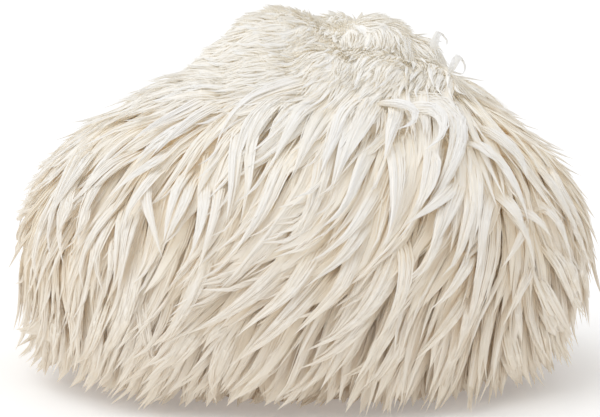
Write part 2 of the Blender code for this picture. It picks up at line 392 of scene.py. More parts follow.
# The camera, whose picture the routes are given in.
CAMERA_TILT = math.radians(12)
CAMERA_AWAY = 1.6
AIM = np.array((0.0005, 0, 0.0560))
VIEW_WIDTH = 0.2012  # what the picture's width covers at the aim
LOOK_RIGHT = np.array((1.0, 0.0, 0.0))
LOOK_UP = np.array((0.0, math.sin(CAMERA_TILT), math.cos(CAMERA_TILT)))
LOOK_BACK = np.array((0.0, -math.cos(CAMERA_TILT), math.sin(CAMERA_TILT)))

SIGHT_STEPS = np.linspace(-0.11, 0.09, 201)  # where sight lines are tested, from the aim's distance

# How locks lie.
PATH_STEPS = 16
ROOT_DEPTH = 0.0015
RISEN_BY = 0.60  # the share of a picture's lock over which it rises through the coat
LOCK_RISE = 1.15  # how high the picture's locks come to lie, as a share of the coat's depth
COMB_RISE = 0.5  # and the combed lines
HANGS_FROM = 0.006  # spines begin to hang free this far above the widest level
HANGS_BELOW = 0.010  # and wholly hang free this far below it
HANGING = np.array((0.0, 0.0, -1.9))  # what turns free spines down
STIFFNESS = 2.2  # how much of its way a spine keeps from step to step
COAT_SLACK = 0.001  # how far spines may stand past their height before they are drawn in
PRESSING = 0.35  # how much of the rest they are drawn in by at each step
PRESSING_LOST = 0.4  # what of that is lost at the tip
FLOOR_ROUNDS = 3  # how often locks are shortened to clear the floor
SHORTEST = 0.3  # and the least that one round leaves of them
FLOOR_GAP = 0.0010  # how far the locks' middle lines stay above the floor
FLOOR_CLEARANCE = 0.0002  # and how far all else of them does


def rng(salt):
    return np.random.default_rng(SEED + salt)


def unit(ways):
    return ways / np.maximum(np.linalg.norm(ways, axis=-1, keepdims=True), 1e-9)


def dot(one, other):
    return np.sum(one * other, axis=-1, keepdims=True)


def soft_step(low, high, value):
    share = np.clip((value - low) / (high - low), 0, 1)
    return share * share * (3 - 2 * share)


def by_table(table, where, column):
    """A table's column at given values of its first column."""
    rows = np.array(table)
    return np.interp(where, rows[:, 0], rows[:, column])


def azimuth_of(places):
    return np.degrees(np.arctan2(places[:, 1], places[:, 0]))


def lean_at(places):
    return by_table(LEANS, azimuth_of(places), 1)


def lock_length(places):
    return by_table(LOCK_KINDS, places[..., 2], 1)


def lock_half_width(places):
    return by_table(LOCK_KINDS, places[..., 2], 2)


def coat_depth(places):
    return by_table(LOCK_KINDS, places[..., 2], 3)


def plain_distance(places):
    """About how far places lie outside the dome without its mounds and lobes."""
    rise = places[..., 2] - WIDEST_AT
    above = rise > 0
    tall = np.where(above, TOP - WIDEST_AT, UNDERSIDE_DROP)
    power = np.where(above, CROWN_ROUNDNESS, 2.0)
    across = places[..., 0] - np.where(above, CROWN_LEAN * rise / tall, 0)
    along = places[..., 1]
    level_share = np.maximum(np.hypot(across / HALF_WIDTH, along / HALF_DEPTH), 1e-6)
    height_share = np.maximum(np.abs(rise) / tall, 1e-6)
    level = (level_share**power + height_share**power) ** (1 / power)
    steep = level ** (1 - power)
    by_level = steep * level_share ** (power - 1) / level_share
    slope_x = by_level * across / HALF_WIDTH**2
    slope_y = by_level * along / HALF_DEPTH**2
    slope_z = steep * height_share ** (power - 1) / tall
    return (level - 1) / np.sqrt(slope_x**2 + slope_y**2 + slope_z**2 + 1e-12)


def plain_place(azimuth, height):
    """A point of the plain dome, and the way out there."""
    rise = height - WIDEST_AT
    tall, power = (TOP - WIDEST_AT, CROWN_ROUNDNESS) if rise > 0 else (UNDERSIDE_DROP, 2)
    share = (1 - (abs(rise) / tall) ** power) ** (1 / power)
    turn = math.radians(azimuth)
    across = HALF_WIDTH * share * math.cos(turn) + CROWN_LEAN * max(rise, 0) / tall
    place = np.array((across, HALF_DEPTH * share * math.sin(turn), height))
    nudge = 1e-4 * np.eye(3)
    out = unit(plain_distance(place + nudge) - plain_distance(place - nudge))
    return place, out


def lobe_centres():
    centres = []
    for azimuth, height, radius, proud in LOBES:
        place, out = plain_place(azimuth, height)
        centres.append(place + out * (proud - radius))
    return np.array(centres)


MOUND_TOPS = [plain_place(azimuth, height)[0] for azimuth, height, _, _ in MOUNDS]
LOBE_CENTRES = lobe_centres()


def distance(places):
    """About how far places lie outside the flesh, minus inside."""
    far = plain_distance(places)
    for top, (_, _, spread, rise) in zip(MOUND_TOPS, MOUNDS):
        far = far - rise * np.exp(-((np.linalg.norm(places - top, axis=-1) / spread) ** 2))
    for centre, (_, _, radius, _) in zip(LOBE_CENTRES, LOBES):
        lobe = np.linalg.norm(places - centre, axis=-1) - radius
        blend = np.clip(0.5 + 0.5 * (lobe - far) / CREASE, 0, 1)
        far = lobe + (far - lobe) * blend - CREASE * blend * (1 - blend)
    return far


def openness(places):
    """1 where the flesh is flat or domed, down to 0 in the creases between its lobes."""
    out = outward(places)
    side = unit(np.cross(out, np.array((0.0, 1.0, 0.0))))
    other = np.cross(out, side)
    deep = -sum(distance(places + way * CREASE_REACH) for way in (side, -side, other, -other)) / 4
    return np.clip(1 - deep / (CREASE_FULL * CREASE_REACH), 0, 1)


def outward(places):
    """The way straight out of the flesh at places."""
    nudge = 4e-4
    slope = [distance(places + step) - distance(places - step) for step in nudge * np.eye(3)]
    return unit(np.stack(slope, axis=-1))


def on_flesh(ways):
    """Where rays from the middle of the flesh leave it."""
    reach = np.full(len(ways), HALF_DEPTH)
    for _ in range(SEARCH_ROUNDS):
        reach = reach - SEARCH_STEP * distance(MIDDLE + ways * reach[:, None])
    return MIDDLE + ways * reach[:, None]


def waves(salt, wavelength, count=5):
    """A smooth random number between about -1 and 1 at any place."""
    draw = rng(salt)
    ways = unit(draw.normal(size=(count, 3))) * (2 * math.pi / wavelength)
    ways = ways * draw.uniform(0.7, 1.4, (count, 1))
    starts = draw.uniform(0, 2 * math.pi, count)

    def value(places):
        return np.sin(places @ ways.T + starts).sum(axis=-1) / math.sqrt(count)

    return value


SWIRL = waves(SWIRL_SALT, 0.034)
FINE_SWIRL = waves(FINE_SWIRL_SALT, 0.014)
SWIRL_TURN = math.radians(20)
FINE_SWIRL_TURN = math.radians(10)


def plain_flow(places, lean_share):
    """Down over the flesh, leaning round it."""
    level = np.zeros(len(places))
    left = np.stack((places[:, 1] / HALF_DEPTH, -places[:, 0] / HALF_WIDTH, level), axis=-1)
    lean = lean_at(places) * lean_share
    return unit(np.array((0.0, 0.0, -1.0)) + unit(left) * lean[:, None])


def seen_places(pixels, lifts):
    """Points of the picture laid on the flesh at given lifts off it, or beside it, above the floor."""
    across = (pixels[:, 0] - PICTURE[0] / 2) * VIEW_WIDTH / PICTURE[0]
    up = (PICTURE[1] / 2 - pixels[:, 1]) * VIEW_WIDTH / PICTURE[0]
    eye = AIM + LOOK_BACK * CAMERA_AWAY
    ways = unit(across[:, None] * LOOK_RIGHT + up[:, None] * LOOK_UP - LOOK_BACK * CAMERA_AWAY)
    reaches = CAMERA_AWAY + SIGHT_STEPS
    places = eye + ways[:, None] * reaches[None, :, None]
    over = distance(places) - lifts[:, None]
    inside = over < 0
    first = np.where(inside.any(axis=1), inside.argmax(axis=1), over.argmin(axis=1))
    found = places[np.arange(len(pixels)), first]
    sunk = np.clip(FLOOR_GAP - found[:, 2:], 0, None)
    return found + ways * sunk / ways[:, 2:]


def smooth_route(points, steps):
    """A smooth curve through points, in even steps."""
    run = np.concatenate(([0], np.cumsum(np.linalg.norm(np.diff(points, axis=0), axis=1))))
    slopes = np.gradient(points, run, axis=0)
    where = np.linspace(0, run[-1], steps + 1)
    low = np.clip(np.searchsorted(run, where, side="right") - 1, 0, len(points) - 2)
    gap = (run[low + 1] - run[low])[:, None]
    share = (where - run[low])[:, None] / gap
    left = 1 - share
    start = points[low] * (1 + 2 * share) * left**2 + slopes[low] * gap * share * left**2
    end = points[low + 1] * share**2 * (3 - 2 * share) - slopes[low + 1] * gap * share**2 * left
    return start + end


def laid_route(pixels, steps, rise):
    """A route of the picture on the flesh: rooted in it, then rising over the coat."""
    pixels = np.array(pixels, dtype=float)
    back = pixels[0] - pixels[1]
    pixels = np.concatenate(([pixels[0] + ROOT_RUN * back / np.linalg.norm(back)], pixels))
    run = np.concatenate(([0], np.cumsum(np.linalg.norm(np.diff(pixels, axis=0), axis=1))))
    root = seen_places(pixels[:1], np.zeros(1))
    depth = coat_depth(root[0]) * rise
    lifts = depth * soft_step(0, RISEN_BY, run / run[-1]) - ROOT_DEPTH * (run == 0)
    path = smooth_route(seen_places(pixels, lifts), steps)
    share = np.linspace(0, 1, steps + 1)
    want = depth * soft_step(0, RISEN_BY, share) - ROOT_DEPTH
    short = np.clip(want - distance(path), 0, None)[:, None]
    path = path + outward(path) * short
    path[:, 2] = np.maximum(path[:, 2], FLOOR_GAP)
    return path


FRONT_PATHS = np.array([laid_route(route, PATH_STEPS, LOCK_RISE) for _, *route in FRONT_LOCKS])
COMB_PATHS = np.array([laid_route(route, PATH_STEPS, COMB_RISE) for route in COMBING])
COMB_LINES = np.concatenate((FRONT_PATHS, COMB_PATHS))[:, ::2]
COMB_AT = COMB_LINES.reshape(-1, 3)
COMB_WAY = unit(np.gradient(COMB_LINES, axis=1)).reshape(-1, 3)


def comb_gaps(places):
    """Squared distances from places to the points of the combing lines."""
    return np.sum(places**2, axis=1)[:, None] + np.sum(COMB_AT**2, axis=1) - 2 * places @ COMB_AT.T


def flow(places, out, lean_share):
    """The way spines lie at places: as combed nearby, else plainly, in swirls."""
    near = np.exp(-comb_gaps(places) / COMB_REACH**2)
    ways = plain_flow(places, lean_share) * PLAIN_COMBING + near @ COMB_WAY
    tangent = unit(ways - out * dot(ways, out))
    turn = SWIRL_TURN * SWIRL(places) * np.exp(-near.sum(axis=1))
    turn = turn + FINE_SWIRL_TURN * FINE_SWIRL(places)
    return tangent * np.cos(turn)[:, None] + np.cross(out, tangent) * np.sin(turn)[:, None]


def grow(roots, lengths, lean_share, curl, start_out, lift, proud, steps=PATH_STEPS):
    """Middle lines of locks: out of the flesh, over it and down, then hanging free."""
    out = outward(roots)
    place = roots - out * ROOT_DEPTH
    way = unit(out * start_out[:, None] + flow(roots, out, lean_share))
    path = [place]
    step = (lengths / steps)[:, None]
    for i in range(steps):
        share = (i + 1) / steps
        out = outward(place)
        hanging = soft_step(WIDEST_AT + HANGS_FROM, WIDEST_AT - HANGS_BELOW, place[:, 2])[:, None]
        over = flow(place, out, lean_share)
        free = unit(over + HANGING)
        side = np.cross(out, over)
        flick = (side * curl[:, None] + out * lift[:, None]) * share**3
        way = unit(way * STIFFNESS + over * (1 - hanging) + free * hanging + flick)
        place = place + way * step
        want = (proud * share)[:, None]
        far = distance(place)[:, None]
        place = place + out * np.clip(want - far, 0, None)
        too_far = np.clip(far - want - COAT_SLACK, 0, None)
        place = place - out * too_far * PRESSING * (1 - hanging) * (1 - PRESSING_LOST * share**2)
        path.append(place)
    return np.stack(path, axis=1)


def grow_above_floor(fringe, roots, lengths, *how):
    """Middle lines whose tips stop above the floor, each shortened as far as it needs."""
    ends = by_table(FRINGE_ENDS, azimuth_of(roots), 1) * fringe
    room = roots[:, 2] - np.minimum(ends, roots[:, 2] * FRINGE_SHARE)
    for _ in range(FLOOR_ROUNDS):
        path = grow(roots, lengths, *how)
        drop = roots[:, 2] - path[:, :, 2].min(axis=1)
        lengths = lengths * np.clip(room / np.maximum(drop, 1e-6), SHORTEST, 1)
    path[:, :, 2] = np.maximum(path[:, :, 2], FLOOR_GAP)
    return path


def flesh_triangles():
    """The flesh as triangles in a fixed order, so that the roots are the same each run."""
    turns = np.linspace(0, 2 * math.pi, FLESH_SEGMENTS + 1)
    tilts = np.linspace(-math.pi / 2, math.pi / 2, FLESH_RINGS + 1)
    turn, tilt = np.meshgrid(turns, tilts, indexing="ij")
    ways = np.stack((np.cos(turn) * np.cos(tilt), np.sin(turn) * np.cos(tilt), np.sin(tilt)), axis=-1)
    grid = on_flesh(ways.reshape(-1, 3)).reshape(ways.shape)
    here, right, above, beyond = grid[:-1, :-1], grid[1:, :-1], grid[:-1, 1:], grid[1:, 1:]
    halves = ((here, right, beyond), (here, beyond, above))
    return np.concatenate([np.stack(half, axis=-2).reshape(-1, 3, 3) for half in halves])


FLESH_TRIANGLES = flesh_triangles()
TRIES_PER_ROOT = 8  # random places tried per square of the spacing


def spaced_roots(coat, low, high):
    """Random points of the flesh between two heights, no two nearer than the coat's spacing."""
    draw, spacing = rng(coat["salt"]), coat["spacing"]
    a, b, c = (FLESH_TRIANGLES[:, corner] for corner in range(3))
    middle_height = (a + b + c)[:, 2] / 3
    area = np.linalg.norm(np.cross(b - a, c - a), axis=1) / 2
    area = area * ((middle_height > low) & (middle_height < high))
    count = int(TRIES_PER_ROOT * area.sum() / spacing**2)
    chosen = draw.choice(len(area), count, p=area / area.sum())
    one, two = draw.uniform(size=(2, len(chosen), 1))
    fold = one + two > 1
    one, two = np.where(fold, 1 - one, one), np.where(fold, 1 - two, two)
    places = a[chosen] + one * (b - a)[chosen] + two * (c - a)[chosen]
    tree = KDTree(len(places))
    for i, place in enumerate(places):
        tree.insert(place, i)
    tree.balance()
    free = np.ones(len(places), dtype=bool)
    kept = []
    for i, place in enumerate(places):
        if free[i]:
            kept.append(i)
            for _, near, _ in tree.find_range(place, spacing):
                free[near] = False
    return places[kept]


def resample(paths, shares):
    """Points along each path at shares of its length: path, share, xyz."""
    at = np.clip(shares, 0, 1) * (paths.shape[1] - 1)
    low = np.minimum(at.astype(int), paths.shape[1] - 2)
    rows = np.arange(len(paths)).reshape((-1,) + (1,) * (shares.ndim - 1))
    blend = (at - low)[..., None]
    return paths[rows, low] * (1 - blend) + paths[rows, low + 1] * blend


def frames(paths):
    """Outward and sideways directions at every point of the paths."""
    along = unit(np.gradient(paths, axis=1))
    out = outward(paths.reshape(-1, 3)).reshape(paths.shape)
    out = unit(out - along * dot(out, along))
    return out, np.cross(along, out)


MARKS = ("cover", "along", "shade", "around")  # what each point is marked with for the colours
CELL_EDGE = 0.06  # the share of a tube's cell of the flat map that stays free at each edge
CELL_INSIDE = 0.88


def tube_faces(ring_count, sides):
    """A tube's corners and face sizes: its walls, its pointed tip, then its flat root."""
    ring, side = np.meshgrid(np.arange(ring_count - 1), np.arange(sides), indexing="ij")
    after = (side + 1) % sides
    here, above = ring * sides, (ring + 1) * sides
    walls = np.stack((here + side, here + after, above + after, above + side), axis=-1)
    run, last = np.arange(sides), (ring_count - 1) * sides
    tips = np.full(sides, ring_count * sides)
    caps = np.stack((last + run, last + (run + 1) % sides, tips), axis=-1)
    corners = np.concatenate((walls.reshape(-1), caps.reshape(-1), run[::-1]))
    sizes = np.concatenate((np.full((ring_count - 1) * sides, 4), np.full(sides, 3), [sides]))
    return corners, sizes


def tube_map(ring_count, sides):
    """Where the corners of those faces lie on a tube's cell of the flat map."""
    ring, side = np.meshgrid(np.arange(ring_count - 1), np.arange(sides), indexing="ij")
    run, last = np.arange(sides), (ring_count - 1) / ring_count
    wall_u = np.stack((side, side + 1, side + 1, side), axis=-1).reshape(-1) / sides
    wall_v = np.stack((ring, ring, ring + 1, ring + 1), axis=-1).reshape(-1) / ring_count
    cap_u = np.stack((run, run + 1, run + 0.5), axis=-1).reshape(-1) / sides
    cap_v = np.tile((last, last, 1.0), sides)
    across = np.concatenate((wall_u, cap_u, run[::-1] / sides))
    return np.stack((across, np.concatenate((wall_v, cap_v, np.zeros(sides)))), axis=-1)


class Tubes:
    """Collects tapered tubes and makes one mesh of them."""

    def __init__(self):
        self.points, self.corners, self.sizes, self.uvs, self.marks = [], [], [], [], []
        self.point_count = 0

    def add(self, rings, tips, cover, along, shade):
        """Rings: tube, ring, side, xyz. Cover and along: tube, ring. Shade: tube. Seam at side 0."""
        tubes, ring_count, sides, _ = rings.shape
        each = ring_count * sides + 1
        points = np.concatenate((rings.reshape(tubes, -1, 3), tips[:, None]), axis=1)
        corners, sizes = tube_faces(ring_count, sides)
        starts = self.point_count + np.arange(tubes) * each
        self.points.append(points.reshape(-1, 3))
        self.corners.append((starts[:, None] + corners).reshape(-1))
        self.sizes.append(np.tile(sizes, tubes))
        flat = tube_map(ring_count, sides)
        self.uvs.append(np.broadcast_to(flat, (tubes,) + flat.shape))
        marks = np.empty((tubes, each, 4))
        marks[:, :-1, 0] = np.repeat(cover, sides, axis=1)
        marks[:, :-1, 1] = np.repeat(along, sides, axis=1)
        marks[:, -1, 0] = cover[:, -1]
        marks[:, -1, 1] = 1
        marks[:, :, 2] = shade[:, None]
        marks[:, :-1, 3] = np.tile(np.arange(sides) / sides, ring_count)
        marks[:, -1, 3] = 0.5
        self.marks.append(marks.reshape(-1, 4))
        self.point_count += tubes * each

    def flat_places(self):
        """Each tube's own cell of the flat map that the colours are laid out on."""
        total = sum(len(part) for part in self.uvs)
        columns = math.ceil(math.sqrt(total))
        placed, first = [], 0
        for part in self.uvs:
            index = first + np.arange(len(part))
            origin = np.stack((index % columns, index // columns), axis=-1)[:, None]
            placed.append(((origin + CELL_EDGE + CELL_INSIDE * part) / columns).reshape(-1, 2))
            first += len(part)
        return np.concatenate(placed)

    def piece(self, name):
        points = np.concatenate(self.points)
        points[:, 2] = np.maximum(points[:, 2], FLOOR_CLEARANCE)
        corners = np.concatenate(self.corners)
        sizes = np.concatenate(self.sizes)
        marks = np.concatenate(self.marks)
        mesh = bpy.data.meshes.new(name)
        mesh.vertices.add(len(points))
        mesh.vertices.foreach_set("co", points.reshape(-1))
        mesh.loops.add(len(corners))
        mesh.loops.foreach_set("vertex_index", corners)
        mesh.polygons.add(len(sizes))
        mesh.polygons.foreach_set("loop_start", np.concatenate(([0], np.cumsum(sizes)[:-1])))
        mesh.polygons.foreach_set("use_smooth", np.zeros(len(sizes), dtype=bool))
        flat_map = mesh.uv_layers.new(name="OFBake")
        flat_map.data.foreach_set("uv", self.flat_places().reshape(-1))
        for column, mark in enumerate(MARKS):
            layer = mesh.attributes.new(mark, "FLOAT", "POINT")
            layer.data.foreach_set("value", np.ascontiguousarray(marks[:, column]))
        mesh.update(calc_edges=True)
        mesh.validate()
        made = bpy.data.objects.new(name, mesh)
        bpy.context.scene.collection.objects.link(made)
        return made


def cover_of(places):
    """How far out in the coat of spines places lie, from 0 at the flesh to 1."""
    return np.clip(distance(places) / coat_depth(places), 0, 1)


def profile(shares):
    """A core's thickness along it: full near its middle, then drawn to a point."""
    return (0.06 + 0.94 * soft_step(0, 0.40, shares)) * (1 - shares**3.0) ** 0.95


def rings_round(centre, out, side, size, flatness, sides):
    """Rings of corners round points, with the seam on the inner side: tube, ring, corner, xyz."""
    angle = np.arange(sides) / sides * 2 * math.pi - math.pi / 2
    shape = side[:, :, None] * np.cos(angle)[:, None]
    shape = shape + out[:, :, None] * np.sin(angle)[:, None] * flatness
    return centre[:, :, None] + size[..., None, None] * shape


# A lock's tubes. A core's thickness is a share of its lock's. A fibre's is a half width in metres,
# and how far it lies from the middle line is a share of its lock's half width.
CORE_SHARE = 0.75
FIBRE = 0.00029
FIBRE_SIZES = (0.65, 1.35)
FIBRE_FLATNESS = 0.8
FIBRE_OFF = (0.90, 1.22)
FIBRE_ARC, FIBRE_ARC_START = 1.2, 0.1  # how far fibres spread round the core, in half turns
FIBRE_SHORTENING = 0.30
FIBRE_WAVER = (0.10, 0.35)
FIBRE_WAVES = (2, 7)
ROOT_SPREAD = 0.90
SPREAD_UNTIL = 0.45
STRAY_SHARE = 0.12
STRAY_OFF = (1.1, 1.6)
STRAY_LIFT = 0.12
ANY_PHASE = 6.3  # about a full turn

# The crown's hairs, in the same terms.
HAIR = 0.00045
HAIR_SIZES = (0.7, 1.3)
HAIR_FLATNESS = 0.45
HAIR_STEPS = 5
HAIR_RINGS = 3
HAIR_TAPER = 0.85
HAIR_HALF_WIDTH = 0.0002  # of the lock that a hair stands for
HAIR_OFF = (0.85, 1.1)
HAIR_REACH = (0.8, 1.0)
HAIR_ARC, HAIR_ARC_START = 1.5, 0.25
HAIR_WAVER = 0.35
HAIR_WAVES = (4, 11)
HAIR_STRAY_OFF = (1.15, 1.9)
HAIR_STRAY_REACH = (0.6, 0.98)
HAIR_STRAY_LIFT = 0.15
LOCK_TONE = 0.4  # how much of a fibre's or hair's tone is its lock's


class Locks:
    """A set of locks, with what all their tubes need."""

    def __init__(self, paths, half_width, flatness, draw):
        self.paths, self.half_width, self.flatness, self.draw = paths, half_width, flatness, draw
        self.out, self.side = frames(paths)
        self.tone = draw.uniform(0, 1, len(paths))

    def chosen(self, which):
        part = object.__new__(Locks)
        part.draw = self.draw
        for name in ("paths", "half_width", "flatness", "out", "side", "tone"):
            setattr(part, name, getattr(self, name)[which])
        return part

    def along(self, owner, shares):
        """Middles, outward and sideways ways at shares of the owners' lengths."""
        return (
            resample(self.paths[owner], shares),
            unit(resample(self.out[owner], shares)),
            unit(resample(self.side[owner], shares)),
        )

    def wave(self, shares, turns):
        """A wave of its own along each of the given tubes."""
        count = len(shares)
        pace = self.draw.uniform(*turns, (count, 1))
        return np.sin(shares * pace + self.draw.uniform(0, ANY_PHASE, (count, 1)))

    def add_cores(self, tubes, sides, rings):
        """One smooth core in each lock. Its seam is on the inner side."""
        count = len(self.paths)
        shares = np.broadcast_to(np.linspace(0, 1, rings + 1)[:-1], (count, rings))
        middle, out, side = self.along(np.arange(count), shares)
        size = self.half_width[:, None] * CORE_SHARE * profile(shares)
        flatness = self.flatness[:, None, None, None]
        points = rings_round(middle, out, side, size, flatness, sides)
        tubes.add(points, self.paths[:, -1], cover_of(middle), shares, self.tone)

    def add_fibres(self, tubes, each, rings):
        """Fibres side by side over each core, spread at the root and drawn together at the tip."""
        draw, count = self.draw, len(self.paths) * each
        owner = np.repeat(np.arange(len(self.paths)), each)
        around = (np.tile(np.arange(each), len(self.paths)) + draw.uniform(0, 1, count)) / each
        stray = draw.uniform(size=count) < STRAY_SHARE
        reach = 1 - draw.uniform(0, 1, count) ** 1.5 * FIBRE_SHORTENING
        shares = np.linspace(0, 1, rings + 1)[None] * reach[:, None]
        middle, out, side = self.along(owner, shares)
        waver = draw.uniform(*FIBRE_WAVER, (count, 1)) * self.wave(shares, FIBRE_WAVES)
        turn = math.pi * (around * FIBRE_ARC - FIBRE_ARC_START)[:, None] + waver
        off = np.where(stray, draw.uniform(*STRAY_OFF, count), draw.uniform(*FIBRE_OFF, count))
        width = self.half_width[owner][:, None] * off[:, None]
        full = CORE_SHARE * profile(shares) + stray[:, None] * STRAY_LIFT * shares
        across = width * (full + ROOT_SPREAD * (1 - soft_step(0, SPREAD_UNTIL, shares)))
        proud = width * self.flatness[owner][:, None] * full
        centre = middle + side * (np.cos(turn) * across)[..., None]
        centre = centre + out * (np.sin(turn) * proud)[..., None]
        own = shares / reach[:, None]
        size = FIBRE * draw.uniform(*FIBRE_SIZES, (count, 1))
        size = size * (0.2 + 0.8 * soft_step(0, 0.25, own)) * (1 - own**3)
        points = rings_round(centre, out, side, size, FIBRE_FLATNESS, 3)
        tone = self.tone[owner] * LOCK_TONE + draw.uniform(0, 1 - LOCK_TONE, count)
        tubes.add(points[:, :-1], centre[:, -1], cover_of(centre[:, :-1]), own[:, :-1], tone)

    def add_hairs(self, tubes):
        """One fine flat hair along each lock, a few of them straying."""
        draw, count = self.draw, len(self.paths)
        around = draw.uniform(0, 1, count)
        stray = draw.uniform(size=count) < STRAY_SHARE
        depth = np.where(stray, draw.uniform(*HAIR_STRAY_OFF, count), draw.uniform(*HAIR_OFF, count))
        stray_reach = draw.uniform(*HAIR_STRAY_REACH, count)
        reach = np.where(stray, stray_reach, draw.uniform(*HAIR_REACH, count))
        shares = np.linspace(0, 1, HAIR_RINGS + 1)[None] * reach[:, None]
        middle, out, side = self.along(np.arange(count), shares)
        waver = HAIR_WAVER * self.wave(shares, HAIR_WAVES)
        turn = math.pi * (around * HAIR_ARC - HAIR_ARC_START)[:, None] + waver
        off = self.half_width[:, None] * depth[:, None]
        off = off * (profile(shares) + stray[:, None] * HAIR_STRAY_LIFT * shares)
        centre = middle + side * (np.cos(turn) * off)[..., None]
        centre = centre + out * (np.sin(turn) * off * self.flatness[:, None])[..., None]
        own = shares / reach[:, None]
        size = (HAIR * draw.uniform(*HAIR_SIZES, count))[:, None] * (1 - HAIR_TAPER * own**1.6)
        points = rings_round(centre, out, side, size, HAIR_FLATNESS, 3)
        tone = self.tone * LOCK_TONE + draw.uniform(0, 1 - LOCK_TONE, count)
        # The crown's creases count as deep in its coat, so that its hairs take painted shade there.
        open_here = openness(self.paths[:, 0])
        cover = np.broadcast_to(open_here[:, None], (count, HAIR_RINGS))
        tubes.add(points[:, :-1], centre[:, -1], cover, own[:, :-1], tone)

    def add_all(self, tubes, coat):
        self.add_cores(tubes, *coat["core"])
        self.add_fibres(tubes, *coat["fibres"])


def gather(paths, roots, tuft_roots, tuft_paths, pull):
    """Locks drawn towards the middle line of the nearest tuft, more so at their tips."""
    gap = np.linalg.norm(roots[:, None] - tuft_roots[None], axis=-1)
    nearest = np.argmin(gap, axis=1)
    share = np.linspace(0, 1, paths.shape[1])[None, :, None]
    return paths + (tuft_paths[nearest] - paths) * pull[:, None, None] * share**1.5


def model_flesh():
    """The lobed flesh, from a sphere, cut off flat at the base."""
    bpy.ops.mesh.primitive_uv_sphere_add(
        segments=FLESH_SEGMENTS, ring_count=FLESH_RINGS, radius=1)
    body = bpy.context.object
    body.name = "flesh"
    ways = np.array([corner.co[:] for corner in body.data.vertices])
    places = on_flesh(unit(ways))
    places = places + outward(places) * (FLESH_BUMP * FINE_SWIRL(places * BUMP_FINENESS))[:, None]
    body.data.vertices.foreach_set("co", places.reshape(-1))
    bpy.ops.object.mode_set(mode="EDIT")
    bpy.ops.mesh.select_all(action="SELECT")
    bpy.ops.mesh.bisect(plane_co=(0, 0, 0), plane_no=(0, 0, -1), use_fill=True, clear_outer=True)
    bpy.ops.mesh.select_all(action="SELECT")
    bpy.ops.mesh.normals_make_consistent(inside=False)
    bpy.ops.object.mode_set(mode="OBJECT")
    bpy.ops.object.shade_smooth_by_angle(angle=math.radians(40))
    return body


def side_of(roots):
    """Which side of the dome a root is on: 0 right, 1 back, 2 left, 3 front."""
    azimuth = np.degrees(np.arctan2(roots[:, 1] / HALF_DEPTH, roots[:, 0] / HALF_WIDTH))
    return (((azimuth + 45) % 360) // 90).astype(int)


def grow_coat(roots, coat, draw):
    """Middle lines, half widths and flatness of a layer of locks."""
    count = len(roots)
    lengths = lock_length(roots) * draw.uniform(*coat["length"], count)
    half_width = lock_half_width(roots) * draw.uniform(*coat["width"], count)
    lean = draw.uniform(*LEAN_SHARES, count)
    curl = -CURL * lean_at(roots) + draw.normal(0, CURL_SPREAD, count)
    start_out = draw.uniform(*START_OUT, count)
    lift = draw.uniform(*coat["lift"], count)
    proud = coat_depth(roots) * draw.uniform(*coat["proud"], count)
    paths = grow_above_floor(coat["fringe"], roots, lengths, lean, curl, start_out, lift, proud)
    return paths, half_width, draw.uniform(*coat["flatness"], count)


def grow_tufts():
    """The middle lines that locks are drawn together to."""
    draw = rng(TUFT_SALT)
    roots = spaced_roots(TUFTS, LOWEST_ROOT, 1)
    count = len(roots)
    curl = -CURL * lean_at(roots) + draw.normal(0, TUFTS["curl"], count)
    lean = draw.uniform(*TUFTS["lean"], count)
    start_out = np.full(count, TUFTS["start_out"])
    lift = draw.uniform(*TUFTS["lift"], count)
    how = (lean, curl, start_out, lift, coat_depth(roots) * TUFTS["proud"])
    return roots, grow_above_floor(TUFTS["fringe"], roots, lock_length(roots), *how)


def model_coat(tufts):
    """The locks of every side, under, middle and top."""
    draw = rng(COAT_SALT)
    sides = {name: Tubes() for name in SIDES}
    for coat in (UNDERCOAT, MIDCOAT, TOPCOAT, WISPS):
        roots = spaced_roots(coat, LOWEST_ROOT, CROWN_FROM)
        if coat is TOPCOAT:
            roots = roots[comb_gaps(roots).min(axis=1) > COMB_REACH**2]
        paths, half_width, flatness = grow_coat(roots, coat, draw)
        paths = gather(paths, roots, *tufts, draw.uniform(*coat["pull"], len(roots)))
        locks = Locks(paths, half_width, flatness, draw)
        for number, tubes in enumerate(sides.values()):
            locks.chosen(side_of(roots) == number).add_all(tubes, coat)
    return [tubes.piece(name) for name, tubes in sides.items()]


def in_strands(draw):
    """The picture's locks, each as strands side by side that draw together at its tip."""
    out, side = frames(FRONT_PATHS)
    share = np.linspace(0, 1, PATH_STEPS + 1)[:, None]
    paths, half_widths = [], []
    for (width, *_), path, outward_ways, sideways in zip(FRONT_LOCKS, FRONT_PATHS, out, side):
        half_width = width / 2 * VIEW_WIDTH / PICTURE[0]
        count = max(2, round(width / STRAND_WIDTH))
        spread = half_width * (STRAND_SPREAD - soft_step(*STRANDS_MEET, share))
        full_length = draw.integers(count)
        for number in range(count):
            place = 2 * (number + draw.uniform(*STRAND_PLACE)) / count - 1
            sunk = half_width * (STRAND_ARCH * place**2 + draw.uniform(*STRAND_DEPTH))
            sunk = sunk * soft_step(*STRANDS_SINK, share)
            strand = path + sideways * place * spread - outward_ways * sunk
            stop = 1 if number == full_length else draw.uniform(*STRAND_STOPS)
            shares = np.linspace(0, stop, PATH_STEPS + 1)
            paths.append(resample(strand[None], shares[None])[0])
            half_widths.append(half_width * STRAND_OVERLAP / count)
    return np.array(paths), np.array(half_widths)


def model_front_locks():
    """The locks that the picture shows best."""
    draw = rng(FRONT_SALT)
    tubes = Tubes()
    paths, half_widths = in_strands(draw)
    Locks(paths, half_widths, draw.uniform(0.60, 0.90, len(paths)), draw).add_all(tubes, STRANDS)
    return tubes.piece("front_locks")


